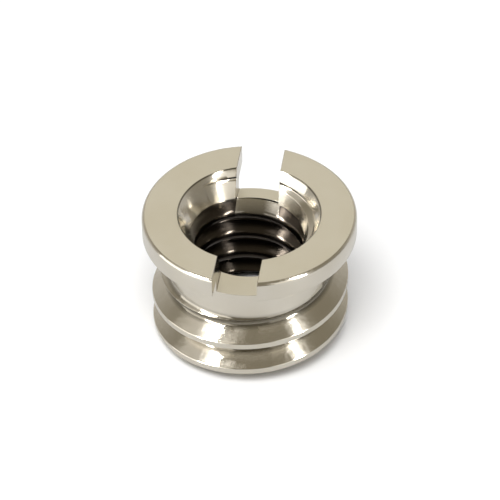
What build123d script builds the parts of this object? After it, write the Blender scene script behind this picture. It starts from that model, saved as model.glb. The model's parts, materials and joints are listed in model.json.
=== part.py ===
from build123d import *
from build123d.topology import SkipClean
from math import ceil, radians, tan
import os

# Tripod thread adapter, one turned and plated brass bushing. It screws into a 3/8-16 socket and takes a 1/4-20
# screw. Sizes are in millimetres. The base, its threaded end, is at Z = 0, the axis is Z and the slot runs
# along Y. Both threads are right hand.

# Flange, neck and shank
overall_height = 6.6
flange_radius = 5.08
flange_thickness = 1.05
flange_edge_chamfer = 0.12
neck_radius = 3.88
neck_length = 2.15
neck_corner_radius = 0.2
end_chamfer = 0.42

# Outside thread, 3/8-16, with sixteen turns to the inch
outside_pitch = 1.5875
outside_crest_radius = 4.70
outside_root_radius = 3.93
outside_crest_flat = 0.30
outside_crest_height = 2.71  # middle of a crest above the base, on the +X side

# Inside thread, 1/4-20, with twenty turns to the inch
inside_pitch = 1.27
inside_crest_radius = 2.55
inside_root_radius = 3.175
inside_root_flat = 0.16
inside_crest_height = 3.88  # middle of a crest above the base, on the +X side

# Countersinks at the two ends of the bore
mouth_radius = 3.37
mouth_half_angle = 28
base_mouth_radius = 3.2
base_mouth_half_angle = 45

# Screwdriver slot
slot_width = 2.08
slot_depth = 1.75

# Both threads are 60 degree forms, so each flank stands 30 degrees off a flat section
flank_angle = 30

# How far the cutting tools reach past the metal that they remove, and how far the flanks of a thread's
# tool go on past the crests
overrun = 0.6
flank_excess = 0.1

# Each threaded wall is turned or drilled in this many equal arcs, so that a crest is a row of short
# cylindrical bands, each of which lies level enough to be measured as a piece of a round wall
crest_arcs = 16

underside_height = overall_height - flange_thickness
neck_end_height = underside_height - neck_length
outer_reach = flange_radius + overrun
flank_slope = tan(radians(flank_angle))


def ring_section(points):
    """The face of a closed outline given as (radius, height) points."""
    return Plane.XZ * make_face(Polyline(*points, close=True))


def turned(points):
    """The solid of revolution of a (radius, height) outline."""
    return revolve(ring_section(points), Axis.Z)


def turned_in_arcs(points):
    """The same, made of equal arcs whose seams are kept in its round faces."""
    arc = 360 / crest_arcs
    wedge = revolve(ring_section(points), Axis.Z, arc)
    return wedge.fuse(*[Rot(0, 0, arc * i) * wedge for i in range(1, crest_arcs)])


def thread_tools(root_radius, crest_radius, crest_flat, pitch, crest_height, end_height):
    """The helical tools that cut the right-hand groove between a thread's crests, a half turn each.

    The first starts below the base, and the last passes the end height by less than a half turn. Their
    flanks go on a little past the crests, and from there their sides run level.
    """
    outward = 1 if crest_radius > root_radius else -1
    flank_radius = crest_radius + outward * flank_excess
    flank_half = (pitch - crest_flat) / 2 + flank_excess * flank_slope
    root_half = flank_half - abs(flank_radius - root_radius) * flank_slope
    reach = flank_radius + outward * overrun
    section = ring_section(
        [
            (root_radius, -root_half),
            (flank_radius, -flank_half),
            (reach, -flank_half),
            (reach, flank_half),
            (flank_radius, flank_half),
            (root_radius, root_half),
        ]
    )
    half_turn = sweep(section, Helix(pitch, pitch / 2, root_radius), is_frenet=True)
    start = crest_height + pitch / 2
    while start > -pitch:
        start -= pitch
    count = ceil((end_height - start) / (pitch / 2))
    return [Pos(0, 0, start + i * pitch / 2) * Rot(0, 0, 180 * i) * half_turn for i in range(count)]


def blank():
    """The flange and shank before the tools, with the flange's top edge broken."""
    rim = flange_radius - flange_edge_chamfer
    return turned(
        [
            (0, 0),
            (flange_radius, 0),
            (flange_radius, overall_height - flange_edge_chamfer),
            (rim, overall_height),
            (0, overall_height),
        ]
    )


def shank_tool():
    """Turns the shank down to the crest of the outside thread, up to halfway along the neck."""
    top = (neck_end_height + underside_height) / 2
    return turned_in_arcs(
        [
            (outside_crest_radius, -overrun),
            (outer_reach, -overrun),
            (outer_reach, top),
            (outside_crest_radius, top),
        ]
    )


def neck_tool():
    """Cuts the neck, with a rounded corner under the flange and the thread's flank angle at its foot."""
    foot = neck_end_height - (outer_reach - neck_radius) * flank_slope
    outline = Polyline(
        (outer_reach, foot),
        (neck_radius, neck_end_height),
        (neck_radius, underside_height),
        (outer_reach, underside_height),
        close=True,
    )
    section = make_face(outline)
    corner = section.vertices().sort_by(Axis.X)[0:2].sort_by(Axis.Y)[-1]
    return revolve(Plane.XZ * fillet(corner, neck_corner_radius), Axis.Z)


def end_chamfer_tool():
    """Breaks the edge of the threaded end at 45 degrees."""
    edge = outside_crest_radius - end_chamfer
    return turned(
        [
            (edge - overrun, -overrun),
            (outer_reach, -overrun),
            (outer_reach, outer_reach - edge),
        ]
    )


def drill():
    """Opens the bore to the crest of the inside thread."""
    return turned_in_arcs(
        [
            (0, -overrun),
            (inside_crest_radius, -overrun),
            (inside_crest_radius, overall_height + overrun),
            (0, overall_height + overrun),
        ]
    )


def countersink_tool(face_radius, half_angle, height, direction):
    """A cone that opens the bore's mouth. Direction is 1 for the top end and -1 for the base."""
    slope = tan(radians(half_angle))
    tip = height - direction * face_radius / slope
    wide = height + direction * overrun
    return turned([(0, tip), (face_radius + overrun * slope, wide), (0, wide)])


def outside_thread_tools():
    """The groove of the outside thread, which runs out in the neck."""
    return thread_tools(
        outside_root_radius,
        outside_crest_radius,
        outside_crest_flat,
        outside_pitch,
        outside_crest_height,
        neck_end_height + outside_pitch / 2,
    )


def inside_thread_tools():
    """The groove of the inside thread, which runs out past both ends of the bore."""
    depth = inside_root_radius - inside_crest_radius
    return thread_tools(
        inside_root_radius,
        inside_crest_radius,
        inside_pitch - inside_root_flat - 2 * depth * flank_slope,
        inside_pitch,
        inside_crest_height,
        overall_height + inside_pitch / 2,
    )


def slot_tool():
    """The screwdriver slot, right across the top."""
    height = slot_depth + overrun
    middle = overall_height - slot_depth + height / 2
    return Pos(0, 0, middle) * Box(slot_width, 2 * outer_reach, height)


def thread_adapter():
    """The finished bushing. The seams between the arcs of the crests are kept."""
    body = blank()
    body = body.cut(shank_tool(), neck_tool())
    body = body.cut(end_chamfer_tool())
    body = body.cut(drill())
    body = body.cut(*outside_thread_tools())
    body = body.cut(*inside_thread_tools())
    body = body.cut(countersink_tool(mouth_radius, mouth_half_angle, overall_height, 1))
    body = body.cut(countersink_tool(base_mouth_radius, base_mouth_half_angle, 0, -1))
    return body.cut(slot_tool())


with SkipClean():
    adapter = thread_adapter()

os.makedirs("parts", exist_ok=True)
export_step(adapter, "parts/thread_adapter.step")
print("volume", round(adapter.volume, 3), "mm3, faces", len(adapter.faces()), "solids", len(adapter.solids()))
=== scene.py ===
import json
from math import ceil, cos, pi, radians, sin, tan

import bpy
from mathutils import Matrix, Vector


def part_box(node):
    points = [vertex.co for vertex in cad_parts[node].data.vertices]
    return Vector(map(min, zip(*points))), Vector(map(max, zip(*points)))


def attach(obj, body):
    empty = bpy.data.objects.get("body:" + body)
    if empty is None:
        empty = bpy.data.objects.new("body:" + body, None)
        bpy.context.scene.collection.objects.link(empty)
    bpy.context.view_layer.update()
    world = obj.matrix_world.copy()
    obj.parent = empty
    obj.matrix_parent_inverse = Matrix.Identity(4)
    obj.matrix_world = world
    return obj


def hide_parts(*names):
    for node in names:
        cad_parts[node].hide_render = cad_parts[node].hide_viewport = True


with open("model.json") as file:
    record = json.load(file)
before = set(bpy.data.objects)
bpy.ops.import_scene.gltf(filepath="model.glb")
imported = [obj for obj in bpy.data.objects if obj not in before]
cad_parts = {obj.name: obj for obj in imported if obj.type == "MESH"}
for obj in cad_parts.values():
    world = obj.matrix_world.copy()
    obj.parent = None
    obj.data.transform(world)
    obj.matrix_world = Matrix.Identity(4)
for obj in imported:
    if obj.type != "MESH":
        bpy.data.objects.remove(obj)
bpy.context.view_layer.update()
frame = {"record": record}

mm = 0.001
mounts = {m["name"]: m for m in frame["record"]["mounts"]}

# Sizes that the CAD part gives, in millimetres. Its flange's facets reach a little less far to -X, and the
# new flange stays within that
lowest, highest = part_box("thread_adapter")
height = (highest.z - lowest.z) / mm
flangeRadius = min(highest.x, -lowest.x) / mm
shoulderHeight = mounts["shoulder"]["pos_m"][2] / mm
slotFloor = mounts["driver_slot"]["pos_m"][2] / mm
outsideCrest = mounts["male_thread"]["dims"]["r_mm"]
insideCrest = mounts["female_thread"]["dims"]["r_mm"]

flankSlope = tan(radians(30))  # both threads are 60 degree forms
columns = 480                  # steps round the axis, the same in every turned mesh
past = 0.6                     # how far a cutter reaches past the metal
startMargin = 0.1              # how much more than a pitch below the base a screw starts


def meshObject(name, points, faces):
    mesh = bpy.data.meshes.new(name)
    mesh.from_pydata([(x * mm, y * mm, z * mm) for x, y, z in points], [], faces)
    mesh.validate()
    obj = bpy.data.objects.new(name, mesh)
    bpy.context.scene.collection.objects.link(obj)
    return obj


# An outline is a list of (radius, height) corners. Some have a rounding as their third number
def rounded(outline, steps=4, closed=True):
    result = []
    count = len(outline)
    for i, corner in enumerate(outline):
        here = Vector(corner[:2])
        rounding = corner[2] if len(corner) > 2 else 0
        if not rounding or (not closed and i in (0, count - 1)):
            result.append(tuple(here))
            continue
        before = (Vector(outline[i - 1][:2]) - here).normalized()
        after = (Vector(outline[(i + 1) % count][:2]) - here).normalized()
        half = before.angle(after) / 2
        centre = here + (before + after).normalized() * (rounding / sin(half))
        start = here + before * (rounding / tan(half)) - centre
        turn = start.angle_signed(here + after * (rounding / tan(half)) - centre)
        for s in range(steps + 1):
            result.append(tuple(centre + Matrix.Rotation(-turn * s / steps, 2) @ start))
    return result


# A closed solid of revolution. Its outline runs up from one point of the axis to another
def turnedSolid(name, outline):
    points, faces = [(0, 0, outline[0][1])], []
    rings = outline[1:-1]
    for r, z in rings:
        for c in range(columns):
            a = 2 * pi * c / columns
            points.append((r * cos(a), r * sin(a), z))
    points.append((0, 0, outline[-1][1]))
    top = len(points) - 1
    for c in range(columns):
        d = (c + 1) % columns
        faces.append((0, 1 + d, 1 + c))
        for ring in range(len(rings) - 1):
            low, high = 1 + ring * columns, 1 + (ring + 1) * columns
            faces.append((low + c, low + d, high + d, high + c))
        last = 1 + (len(rings) - 1) * columns
        faces.append((last + c, last + d, top))
    return meshObject(name, points, faces)


# A closed screw. The section is one pitch of (radius, height), and its rows follow the helix
def screwSolid(name, section, pitch, firstHeight, turns):
    rows = len(section)
    steps = columns * turns
    points = []
    for n in range(steps + 1):
        a = 2 * pi * n / columns
        for r, z in section:
            points.append((r * cos(a), r * sin(a), firstHeight + z + pitch * n / columns))
    extra = len(points)        # the last turn's top edge, a row of its own
    r, z = section[0]
    for n in range(steps - columns + 1, steps + 1):
        a = 2 * pi * n / columns
        points.append((r * cos(a), r * sin(a), firstHeight + z + pitch * (n + columns) / columns))

    def at(n, k):
        if k < rows:
            return n * rows + k
        if n + columns <= steps:
            return (n + columns) * rows
        return extra + n + columns - steps - 1

    faces = []
    for n in range(steps):
        for k in range(rows):
            faces.append((at(n, k), at(n + 1, k), at(n + 1, k + 1), at(n, k + 1)))
    foot = len(points)
    points.append((0, 0, firstHeight + pitch / 2))
    head = len(points)
    points.append((0, 0, firstHeight + pitch * turns + pitch / 2))
    for n in range(columns):   # the two ends close in fans to the axis
        faces.append((foot, at(n + 1, 0), at(n, 0)))
        faces.append((head, at(steps - columns + n, rows), at(steps - columns + n + 1, rows)))
    for k in range(rows):
        faces.append((foot, at(0, k), at(0, k + 1)))
        faces.append((head, at(steps, k + 1), at(steps, k)))
    return meshObject(name, points, faces)


def combine(body, operation, tool):
    step = body.modifiers.new("combine", "BOOLEAN")
    step.operation, step.object, step.solver = operation, tool, "MANIFOLD"
    mesh = bpy.data.meshes.new_from_object(body.evaluated_get(bpy.context.evaluated_depsgraph_get()))
    body.modifiers.clear()
    body.data = mesh
    print(operation.lower(), "with", tool.name, "leaves", len(mesh.polygons), "faces")
    bpy.data.objects.remove(tool)


# One pitch of a thread's section, from the middle of one root to the next
def threadSection(thread):
    pitch, crestHalf = thread["pitch"], thread["crestFlat"] / 2
    rootHalf = pitch / 2 - crestHalf - abs(thread["crest"] - thread["root"]) * flankSlope
    middle = pitch / 2
    outline = [
        (thread["root"], 0),
        (thread["root"], rootHalf, thread["rootRounding"]),
        (thread["crest"], middle - crestHalf, thread["crestRounding"]),
        (thread["crest"], middle + crestHalf, thread["crestRounding"]),
        (thread["root"], pitch - rootHalf, thread["rootRounding"]),
        (thread["root"], pitch),
    ]
    return rounded(outline, closed=False)[:-1]


# A screw of that section, from below the base to over the given height
def threadSolid(name, thread, upTo):
    pitch = thread["pitch"]
    first = thread["crestHeight"] - pitch / 2
    while first > -pitch - startMargin:
        first -= pitch
    turns = ceil((upTo - first) / pitch) + 1
    return screwSolid(name, threadSection(thread), pitch, first, turns)


# Radii, heights, widths and roundings in millimetres, angles in degrees
bushing = {
    "neck": 3.88, "neckEnd": 3.4, "neckCorner": 0.2, "neckFoot": 0.25,
    "flangeEdge": 0.12, "edgeRounding": 0.19, "rimRounding": 0.04,
    "endChamfer": 0.42, "baseRounding": 0.03,
    "mouth": 3.37, "mouthAngle": 28, "mouthEdge": 0.03,
    "baseMouth": 3.2, "baseMouthAngle": 45,
    "slotWidth": 2.08, "slotCorner": 0.05, "slotEdge": 0.03,
    "crestGap": 0.1,   # from the thread's crests out to the blank
    "headGap": 0.2,    # from the neck's end up to the rod's plain head
    "sharpAngle": 30,  # edges sharper than this stay crisp
}
outsideThread = {
    "pitch": 1.5875, "crest": outsideCrest, "root": 3.86, "crestFlat": 0.30,
    "crestRounding": 0.06, "rootRounding": 0.2,
    "crestHeight": 2.71,  # a crest's middle above the base, on the +X side
}
insideThread = {
    "pitch": 1.27, "crest": insideCrest, "root": 3.175, "crestFlat": 0.389,
    "crestRounding": 0.33, "rootRounding": 0.08,
    "crestHeight": 3.88,
}


# The turned outside: end chamfer, relief, neck, flange. It stands clear of the thread's crests
def turnedBlank():
    b = bushing
    clear = outsideCrest + b["crestGap"]
    reliefFoot = b["neckEnd"] - (clear - b["neck"]) * flankSlope
    edge = b["flangeEdge"]
    corner = outsideCrest - b["endChamfer"]
    outline = [
        (0, 0),
        (corner, 0, b["baseRounding"]),
        (clear, clear - corner),
        (clear, reliefFoot),
        (b["neck"], b["neckEnd"], b["neckFoot"]),
        (b["neck"], shoulderHeight, b["neckCorner"]),
        (flangeRadius, shoulderHeight, b["rimRounding"]),
        (flangeRadius, height - edge, b["edgeRounding"]),
        (flangeRadius - edge, height, b["edgeRounding"]),
        (0, height),
    ]
    return turnedSolid("turnedBlank", rounded(outline, steps=5, closed=False))


# A screw whose grooves are the outside thread's, with a plain head over the neck and flange
def threadedRod():
    headFoot = bushing["neckEnd"] + bushing["headGap"]
    headTop, wide = height + past, flangeRadius + past
    rod = threadSolid("threadedRod", outsideThread, headFoot)
    head = turnedSolid("head", [(0, headFoot), (wide, headFoot), (wide, headTop), (0, headTop)])
    combine(rod, "UNION", head)
    return rod


def countersinks():
    b = bushing
    slope, edge = tan(radians(b["mouthAngle"])), b["mouthEdge"]
    top = [
        (0, height - b["mouth"] / slope),
        (b["mouth"] - edge * slope, height - edge),
        (b["mouth"] + edge, height),
        (b["mouth"] + edge + past, height + past),
        (0, height + past),
    ]
    slope = tan(radians(b["baseMouthAngle"]))
    base = [(0, -past), (b["baseMouth"] + past * slope, -past), (0, b["baseMouth"] / slope)]
    return turnedSolid("topCountersink", top), turnedSolid("baseCountersink", base)


def slotCutter():
    b = bushing
    half, edge = b["slotWidth"] / 2, b["slotEdge"]
    side = [
        (half, slotFloor, b["slotCorner"]),
        (half, height - edge),
        (half + edge, height),
        (half + edge, height + past),
    ]
    outline = rounded(side + [(-x, z, *rest) for x, z, *rest in reversed(side)])
    reach = flangeRadius + past
    count = len(outline)
    points = [(x, y, z) for y in (-reach, reach) for x, z in outline]
    faces = [tuple(range(count)), tuple(range(2 * count - 1, count - 1, -1))]
    faces += [(i, i + count, (i + 1) % count + count, (i + 1) % count) for i in range(count)]
    return meshObject("slotCutter", points, faces)


def makeBushing():
    body = turnedBlank()
    combine(body, "INTERSECT", threadedRod())
    for tool in (threadSolid("tap", insideThread, height + past), *countersinks(), slotCutter()):
        combine(body, "DIFFERENCE", tool)
    body.name = body.data.name = "threadAdapter"
    return body


adapter = makeBushing()
print("bushing made,", len(adapter.data.polygons), "faces")


def smoothShade(obj, sharpAngle):
    for face in obj.data.polygons:
        face.use_smooth = True
    obj.data.set_sharp_from_angle(angle=radians(sharpAngle))


# Shader nodes, made with their input values or links by name
def addNode(tree, kind, values=None, **settings):
    node = tree.nodes.new(kind)
    for key, value in settings.items():
        setattr(node, key, value)
    for key, value in (values or {}).items():
        socket = node.inputs[key]
        if isinstance(value, bpy.types.NodeSocket):
            tree.links.new(value, socket)
        else:
            socket.default_value = value
    return node


def calc(tree, operation, first, second=0.0):
    return addNode(tree, "ShaderNodeMath", {0: first, 1: second}, operation=operation).outputs[0]


# Goes from one target to the other as the value crosses the range, and stays level beyond it
def mapped(tree, value, low, high, to0, to1):
    values = {"Value": value, "From Min": low, "From Max": high, "To Min": to0, "To Max": to1}
    return addNode(tree, "ShaderNodeMapRange", values).outputs[0]


def noise(tree, vector, scale, detail, roughness=0.5):
    values = {"Vector": vector, "Scale": scale, "Detail": detail, "Roughness": roughness}
    return addNode(tree, "ShaderNodeTexNoise", values).outputs[0]


def mixed(tree, factor, a, b, kind="RGBA"):
    values = {"Factor": factor, "A": a, "B": b}
    return addNode(tree, "ShaderNodeMix", values, data_type=kind).outputs["Result"]


# Sizes, heights and radii are in millimetres
nickelPlate = {
    # Two tones in soft patches, and how far the noise goes from one to the other in tone and in shine
    "bright": (0.60, 0.565, 0.495, 1), "warm": (0.57, 0.53, 0.45, 1),
    "patchSize": 2.2, "patchTone": (0.3, 0.7), "patchShine": (0.35, 0.65),
    "levelEdge": (0.93, 0.99),  # how far a face looks up or down as it turns satin
    "wallRoughness": (0.13, 0.19), "faceRoughness": (0.28, 0.38), "faceGrain": (0.3, 0.7),
    "brushed": 0.9, "brushTurn": 0.25,
    "waveSize": 1.1, "waveHeight": 0.003,
    "dentSize": 0.32, "dentHeight": 0.008, "dentFade": 0.3,
    "markPitch": 0.045, "markHeight": 0.00012, "markWander": 3,  # in pitches
    "grainSize": 0.05, "grainHeight": 0.00025,
    "edgeSoftness": 0.03,
    # The bore's painted shade: a dark colour that stands in for the shade deep in the bore, with its own
    # roughness. The painted shade gives way to the plate's colour over these heights, in line with the slot
    # and beside it. It begins this far outside the countersink's cone
    "bore": (0.055, 0.046, 0.037, 1), "boreRoughness": 0.17,
    "inLineHeights": (4.2, 4.84), "besideHeights": (4.75, 5.25),
    "offCone": (0.02, 0.08), "boreMargin": 0.05,
    # Painted shade in the outside thread's root by the neck, and a painted dark reflection on the broken edge
    # of the mouth
    "recess": (0.14, 0.125, 0.095, 1), "recessShare": 0.85,
    "recessRadii": (3.9, 4.1), "recessHeights": (3.35, 3.6),
    "lipShare": 0.8, "lipMargin": 0.02,
}


# Two masks: the bore's painted shade, and the painted shade in the outside thread's root with a painted dark
# reflection round the mouth
def darkPlaces(tree, x, z, radius):
    look, b = nickelPlate, bushing
    # Painted shade deep in the bore, darkest low down. It reaches higher beside the slot than in line with
    # it, where the slot lets light in
    dark, shadeEnds = look["inLineHeights"]
    inLine = mapped(tree, z, dark * mm, shadeEnds * mm, 1.0, 0.0)
    dark, shadeEnds = look["besideHeights"]
    offSlot = calc(tree, "GREATER_THAN", calc(tree, "ABSOLUTE", x), b["slotWidth"] / 2 * mm)
    beside = calc(tree, "MULTIPLY", offSlot, mapped(tree, z, dark * mm, shadeEnds * mm, 1.0, 0.0))
    depth = calc(tree, "MAXIMUM", inLine, beside)

    # The countersink's cone keeps the plate's colour, and the grooves behind it get the painted shade
    slope = tan(radians(b["mouthAngle"]))
    values = {0: z, 1: slope, 2: (b["mouth"] - height * slope) * mm}
    cone = addNode(tree, "ShaderNodeMath", values, operation="MULTIPLY_ADD").outputs[0]
    clear, full = look["offCone"]
    groove = mapped(tree, calc(tree, "SUBTRACT", radius, cone), clear * mm, full * mm, 0.0, 1.0)
    within = calc(tree, "LESS_THAN", radius, (b["baseMouth"] + look["boreMargin"]) * mm)
    boreShadeMask = calc(tree, "MULTIPLY", calc(tree, "MULTIPLY", depth, groove), within)

    # Painted shade in the outside thread's root by the neck, and a painted dark reflection on the mouth's
    # edge
    near, far = look["recessRadii"]
    low, high = look["recessHeights"]
    root = mapped(tree, radius, near * mm, far * mm, look["recessShare"], 0.0)
    root = calc(tree, "MULTIPLY", root, mapped(tree, z, high * mm, low * mm, 0.0, 1.0))
    rim, margin = b["mouth"] + b["mouthEdge"], look["lipMargin"]
    lip = calc(tree, "GREATER_THAN", z, (height - b["mouthEdge"] - margin) * mm)
    toRim = mapped(tree, radius, rim * mm, (rim + margin) * mm, look["lipShare"], 0.0)
    return boreShadeMask, calc(tree, "MAXIMUM", root, calc(tree, "MULTIPLY", lip, toRim))


# Nickel over turned brass: bright walls with faint tool marks, satin on what lies level
def nickelPlateMaterial():
    look = nickelPlate
    material = bpy.data.materials.new("nickelPlate")
    material.use_nodes = True
    tree = material.node_tree
    tree.nodes.clear()
    place = addNode(tree, "ShaderNodeTexCoord").outputs["Object"]
    x, y, z = addNode(tree, "ShaderNodeSeparateXYZ", {0: place}).outputs
    radius = calc(tree, "SQRT", calc(tree, "ADD", calc(tree, "MULTIPLY", x, x), calc(tree, "MULTIPLY", y, y)))
    normal = addNode(tree, "ShaderNodeNewGeometry").outputs["Normal"]
    up = addNode(tree, "ShaderNodeSeparateXYZ", {0: normal}).outputs[2]
    level = mapped(tree, calc(tree, "ABSOLUTE", up), *look["levelEdge"], 0.0, 1.0)
    upright = calc(tree, "SUBTRACT", 1.0, level)
    boreShadeMask, recess = darkPlaces(tree, x, z, radius)

    # Waviness of the plate, tool marks that follow the turning, small dents outside, and a fine grain
    perMetre = 1 / mm
    waves = noise(tree, place, perMetre / look["waveSize"], detail=1.0)
    grain = noise(tree, place, perMetre / look["grainSize"], detail=3.0, roughness=0.6)
    feed = calc(tree, "ADD", calc(tree, "MULTIPLY", radius, level), calc(tree, "MULTIPLY", z, upright))
    wander = calc(tree, "MULTIPLY", waves, look["markPitch"] * mm * look["markWander"])
    perMark = 2 * pi * perMetre / look["markPitch"]
    marks = calc(tree, "SINE", calc(tree, "MULTIPLY", calc(tree, "ADD", feed, wander), perMark))
    outerRoot = outsideThread["root"]
    outside = mapped(tree, radius, (outerRoot - look["dentFade"]) * mm, outerRoot * mm, 0.0, 1.0)
    dents = noise(tree, place, perMetre / look["dentSize"], detail=1.0)
    dents = calc(tree, "MULTIPLY", dents, look["dentHeight"])
    dents = calc(tree, "MULTIPLY", dents, calc(tree, "MULTIPLY", outside, upright))
    coarse = calc(tree, "ADD", calc(tree, "MULTIPLY", waves, look["waveHeight"]), dents)
    fine = calc(tree, "ADD", calc(tree, "MULTIPLY", marks, look["markHeight"]),
                calc(tree, "MULTIPLY", grain, look["grainHeight"]))
    relief = calc(tree, "ADD", coarse, fine)
    edges = addNode(tree, "ShaderNodeBevel", {"Radius": look["edgeSoftness"] * mm}, samples=4).outputs[0]
    bump = addNode(tree, "ShaderNodeBump", {"Height": relief, "Distance": mm, "Normal": edges}).outputs[0]

    patches = noise(tree, place, perMetre / look["patchSize"], detail=3.0)
    wallRough = mapped(tree, patches, *look["patchShine"], *look["wallRoughness"])
    faceRough = mapped(tree, grain, *look["faceGrain"], *look["faceRoughness"])
    roughness = mixed(tree, level, wallRough, faceRough, "FLOAT")
    roughness = mixed(tree, boreShadeMask, roughness, look["boreRoughness"], "FLOAT")
    tone = mapped(tree, patches, *look["patchTone"], 0.0, 1.0)
    colour = mixed(tree, tone, look["bright"], look["warm"])
    # Painted shade in the outside thread's root and a painted dark reflection round the mouth
    colour = mixed(tree, recess, colour, look["recess"])
    # Painted shade: the bore is darkened
    colour = mixed(tree, boreShadeMask, colour, look["bore"])

    # Highlights spread across the tool marks, which run round the axis
    values = {0: (0, 0, 1), 1: place}
    around = addNode(tree, "ShaderNodeVectorMath", values, operation="CROSS_PRODUCT").outputs[0]
    brushed = calc(tree, "MULTIPLY", upright, look["brushed"])
    shader = addNode(tree, "ShaderNodeBsdfPrincipled", {
        "Base Color": colour, "Metallic": 1.0, "Roughness": roughness, "Normal": bump,
        "Anisotropic": brushed, "Anisotropic Rotation": look["brushTurn"], "Tangent": around,
    })
    addNode(tree, "ShaderNodeOutputMaterial", {"Surface": shader.outputs[0]}, is_active_output=True)
    return material


smoothShade(adapter, bushing["sharpAngle"])
adapter.data.materials.clear()
adapter.data.materials.append(nickelPlateMaterial())
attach(adapter, "root")
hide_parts("thread_adapter")
print("bushing dressed")

# The photograph's view, in degrees and millimetres
view = {
    "turn": 8.5,  # from straight back to the slot's far end, to the right
    "elevation": 40.6, "roll": 0.8, "distance": 147, "sensor": 36,
    "frame": 500, "topAt": (249.2, 212.8), "pixelsPerMm": 21.25,  # at the top's centre
}


# A unit vector. The turn is counted from the camera's side, to its right
def towards(turn, elevation):
    a, e = radians(turn + view["turn"]), radians(elevation)
    return Vector((sin(a) * cos(e), -cos(a) * cos(e), sin(e)))


# The floor is a little darker where the metal mirrors it
paleFloor = {
    "size": 1200, "colour": (0.92, 0.92, 0.92, 1), "mirrored": (0.73, 0.73, 0.73, 1),
    "roughness": 0.7, "specular": 0.2,
}


def makeFloor():
    half = paleFloor["size"] / 2
    corners = [(-half, -half, 0), (half, -half, 0), (half, half, 0), (-half, half, 0)]
    floor = meshObject("floor", corners, [(0, 1, 2, 3)])
    material = bpy.data.materials.new("paleFloor")
    material.use_nodes = True
    tree = material.node_tree
    shader = tree.nodes["Principled BSDF"]
    mirrored = addNode(tree, "ShaderNodeLightPath").outputs["Is Glossy Ray"]
    colour = mixed(tree, mirrored, paleFloor["colour"], paleFloor["mirrored"])
    tree.links.new(colour, shader.inputs["Base Color"])
    shader.inputs["Roughness"].default_value = paleFloor["roughness"]
    shader.inputs["Specular IOR Level"].default_value = paleFloor["specular"]
    floor.data.materials.append(material)


# Each place in the room is a turn and an elevation. Each edge is where the place comes in, from how nearly a
# direction points at it: 1 is straight at it, and 0 is square to it. The two slopes are sines of elevations
room = {
    "ceiling": (0.32, 0.29, 0.225, 1),
    "pale": (0.68, 0.66, 0.62, 1), "paleSlope": (0.20, 0.62),
    "frontAt": (0, 0), "frontEdge": (0.62, 0.86),
    "shade": (0.36, 0.34, 0.30, 1), "shadeAt": (82, 5), "shadeEdge": (0.86, 0.96),
    "backWall": (0.93, 0.89, 0.76, 1), "wallAt": (180, 42), "wallEdge": (0.78, 0.93),
    # What falls on the floor
    "fill": (0.85, 0.85, 0.85, 1), "lowFill": (0.03, 0.03, 0.03, 1), "fillSlope": (0.35, 0.75),
    "leanAt": (-45, 55), "leanEdge": (-0.2, 1.0), "lean": (0.6, 1.3),
}


def pointsAt(tree, direction, place):
    values = {0: direction, 1: towards(*place)}
    return addNode(tree, "ShaderNodeVectorMath", values, operation="DOT_PRODUCT").outputs["Value"]


# The metal mirrors a room: pale low down, darker overhead, in front and at the right, with a lit wall behind.
# The floor gets a plain fill instead, weak low down and stronger from the left
def softSky():
    world = bpy.data.worlds.new("softSky")
    world.use_nodes = True
    bpy.context.scene.world = world
    tree = world.node_tree
    tree.nodes.clear()
    direction = addNode(tree, "ShaderNodeTexCoord").outputs["Generated"]
    up = addNode(tree, "ShaderNodeSeparateXYZ", {0: direction}).outputs[2]
    front = mapped(tree, pointsAt(tree, direction, room["frontAt"]), *room["frontEdge"], 1.0, 0.0)
    low = calc(tree, "MULTIPLY", mapped(tree, up, *room["paleSlope"], 1.0, 0.0), front)
    behind = mapped(tree, pointsAt(tree, direction, room["wallAt"]), *room["wallEdge"], 0.0, 1.0)
    dim = mapped(tree, pointsAt(tree, direction, room["shadeAt"]), *room["shadeEdge"], 0.0, 1.0)
    pale = mixed(tree, dim, room["pale"], room["shade"])
    colour = mixed(tree, low, room["ceiling"], pale)
    colour = mixed(tree, behind, colour, room["backWall"])
    overhead = mapped(tree, up, *room["fillSlope"], 0.0, 1.0)
    fill = mixed(tree, overhead, room["lowFill"], room["fill"])
    lean = mapped(tree, pointsAt(tree, direction, room["leanAt"]), *room["leanEdge"], *room["lean"])
    fill = addNode(tree, "ShaderNodeVectorMath", {0: fill, "Scale": lean}, operation="SCALE").outputs[0]
    mirrored = addNode(tree, "ShaderNodeLightPath").outputs["Is Glossy Ray"]
    sky = addNode(tree, "ShaderNodeBackground", {"Color": mixed(tree, mirrored, fill, colour)})
    addNode(tree, "ShaderNodeOutputWorld", {"Surface": sky.outputs[0]})


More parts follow.
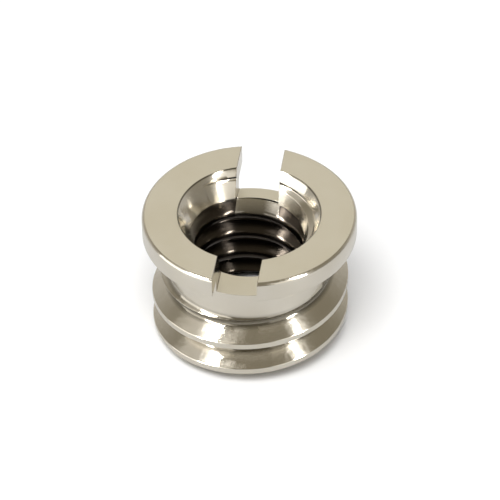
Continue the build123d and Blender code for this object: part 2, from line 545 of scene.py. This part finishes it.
# Turn and elevation of each light's middle, half its width and height in degrees, and its brightness in a
# mirror. The boxes show in reflections alone, and the lamp lights the floor alone
softBoxes = {
    "leftWindow": {"turn": -62, "elevation": 20, "spread": (34, 20), "brightness": 1.9},
    "leftTall": {"turn": -88, "elevation": 50, "spread": (12, 12), "brightness": 0.36},
    "leftHigh": {"turn": -66, "elevation": 71, "spread": (7, 7), "brightness": 1.7},
    "leftStrip": {"turn": -63, "elevation": 42, "spread": (3.4, 15), "brightness": 65},
    "rightWindow": {"turn": 36, "elevation": 20, "spread": (15, 20), "brightness": 0.85},
    "rightTall": {"turn": 63, "elevation": 52, "spread": (8, 12), "brightness": 0.28},
    "rightStrip": {"turn": 52, "elevation": 36, "spread": (3.2, 15), "brightness": 60},
}
lamp = {"turn": -17, "elevation": 66, "spread": (16, 14), "brightness": 7.8}
lightDistance = 320


def softLight(name, box, onFloor):
    distance = lightDistance * mm
    light = bpy.data.lights.new(name, "AREA")
    light.shape = "RECTANGLE"
    light.size, light.size_y = [2 * distance * tan(radians(a)) for a in box["spread"]]
    light.energy = box["brightness"] * pi * light.size * light.size_y
    obj = bpy.data.objects.new(name, light)
    away = towards(box["turn"], box["elevation"])
    obj.location = Vector((0, 0, height / 2 * mm)) + away * distance
    obj.rotation_euler = away.to_track_quat("Z", "Y").to_euler()
    obj.visible_camera = False
    obj.visible_diffuse = onFloor
    obj.visible_glossy = not onFloor
    bpy.context.scene.collection.objects.link(obj)


# The top's centre is off the picture's centre, so the camera aims below it
def photoCamera():
    back = towards(0, view["elevation"])
    right = Vector((cos(radians(view["turn"])), sin(radians(view["turn"])), 0))
    up = back.cross(right)
    top = Vector((0, 0, height * mm))
    roll = radians(view["roll"])
    middle = view["frame"] / 2
    offX, offY = middle - view["topAt"][0], view["topAt"][1] - middle
    sideways = (offX * cos(roll) + offY * sin(roll)) / view["pixelsPerMm"] * mm
    upwards = (offY * cos(roll) - offX * sin(roll)) / view["pixelsPerMm"] * mm
    camera = bpy.data.cameras.new("photoCamera")
    camera.sensor_width = view["sensor"]
    camera.lens = view["distance"] * view["pixelsPerMm"] * view["sensor"] / view["frame"]
    camera.clip_start = mm
    obj = bpy.data.objects.new("photoCamera", camera)
    bpy.context.scene.collection.objects.link(obj)
    obj.location = top + back * view["distance"] * mm
    aim = top + right * sideways + up * upwards
    look = (obj.location - aim).to_track_quat("Z", "Y").to_matrix()
    obj.rotation_euler = (look @ Matrix.Rotation(-roll, 3, "Z")).to_euler()
    bpy.context.scene.camera = obj


makeFloor()
softSky()
for name, box in softBoxes.items():
    softLight(name, box, onFloor=False)
softLight("overhead", lamp, onFloor=True)
photoCamera()
bpy.context.scene.view_settings.view_transform = "Standard"
print("stage, light and camera set")
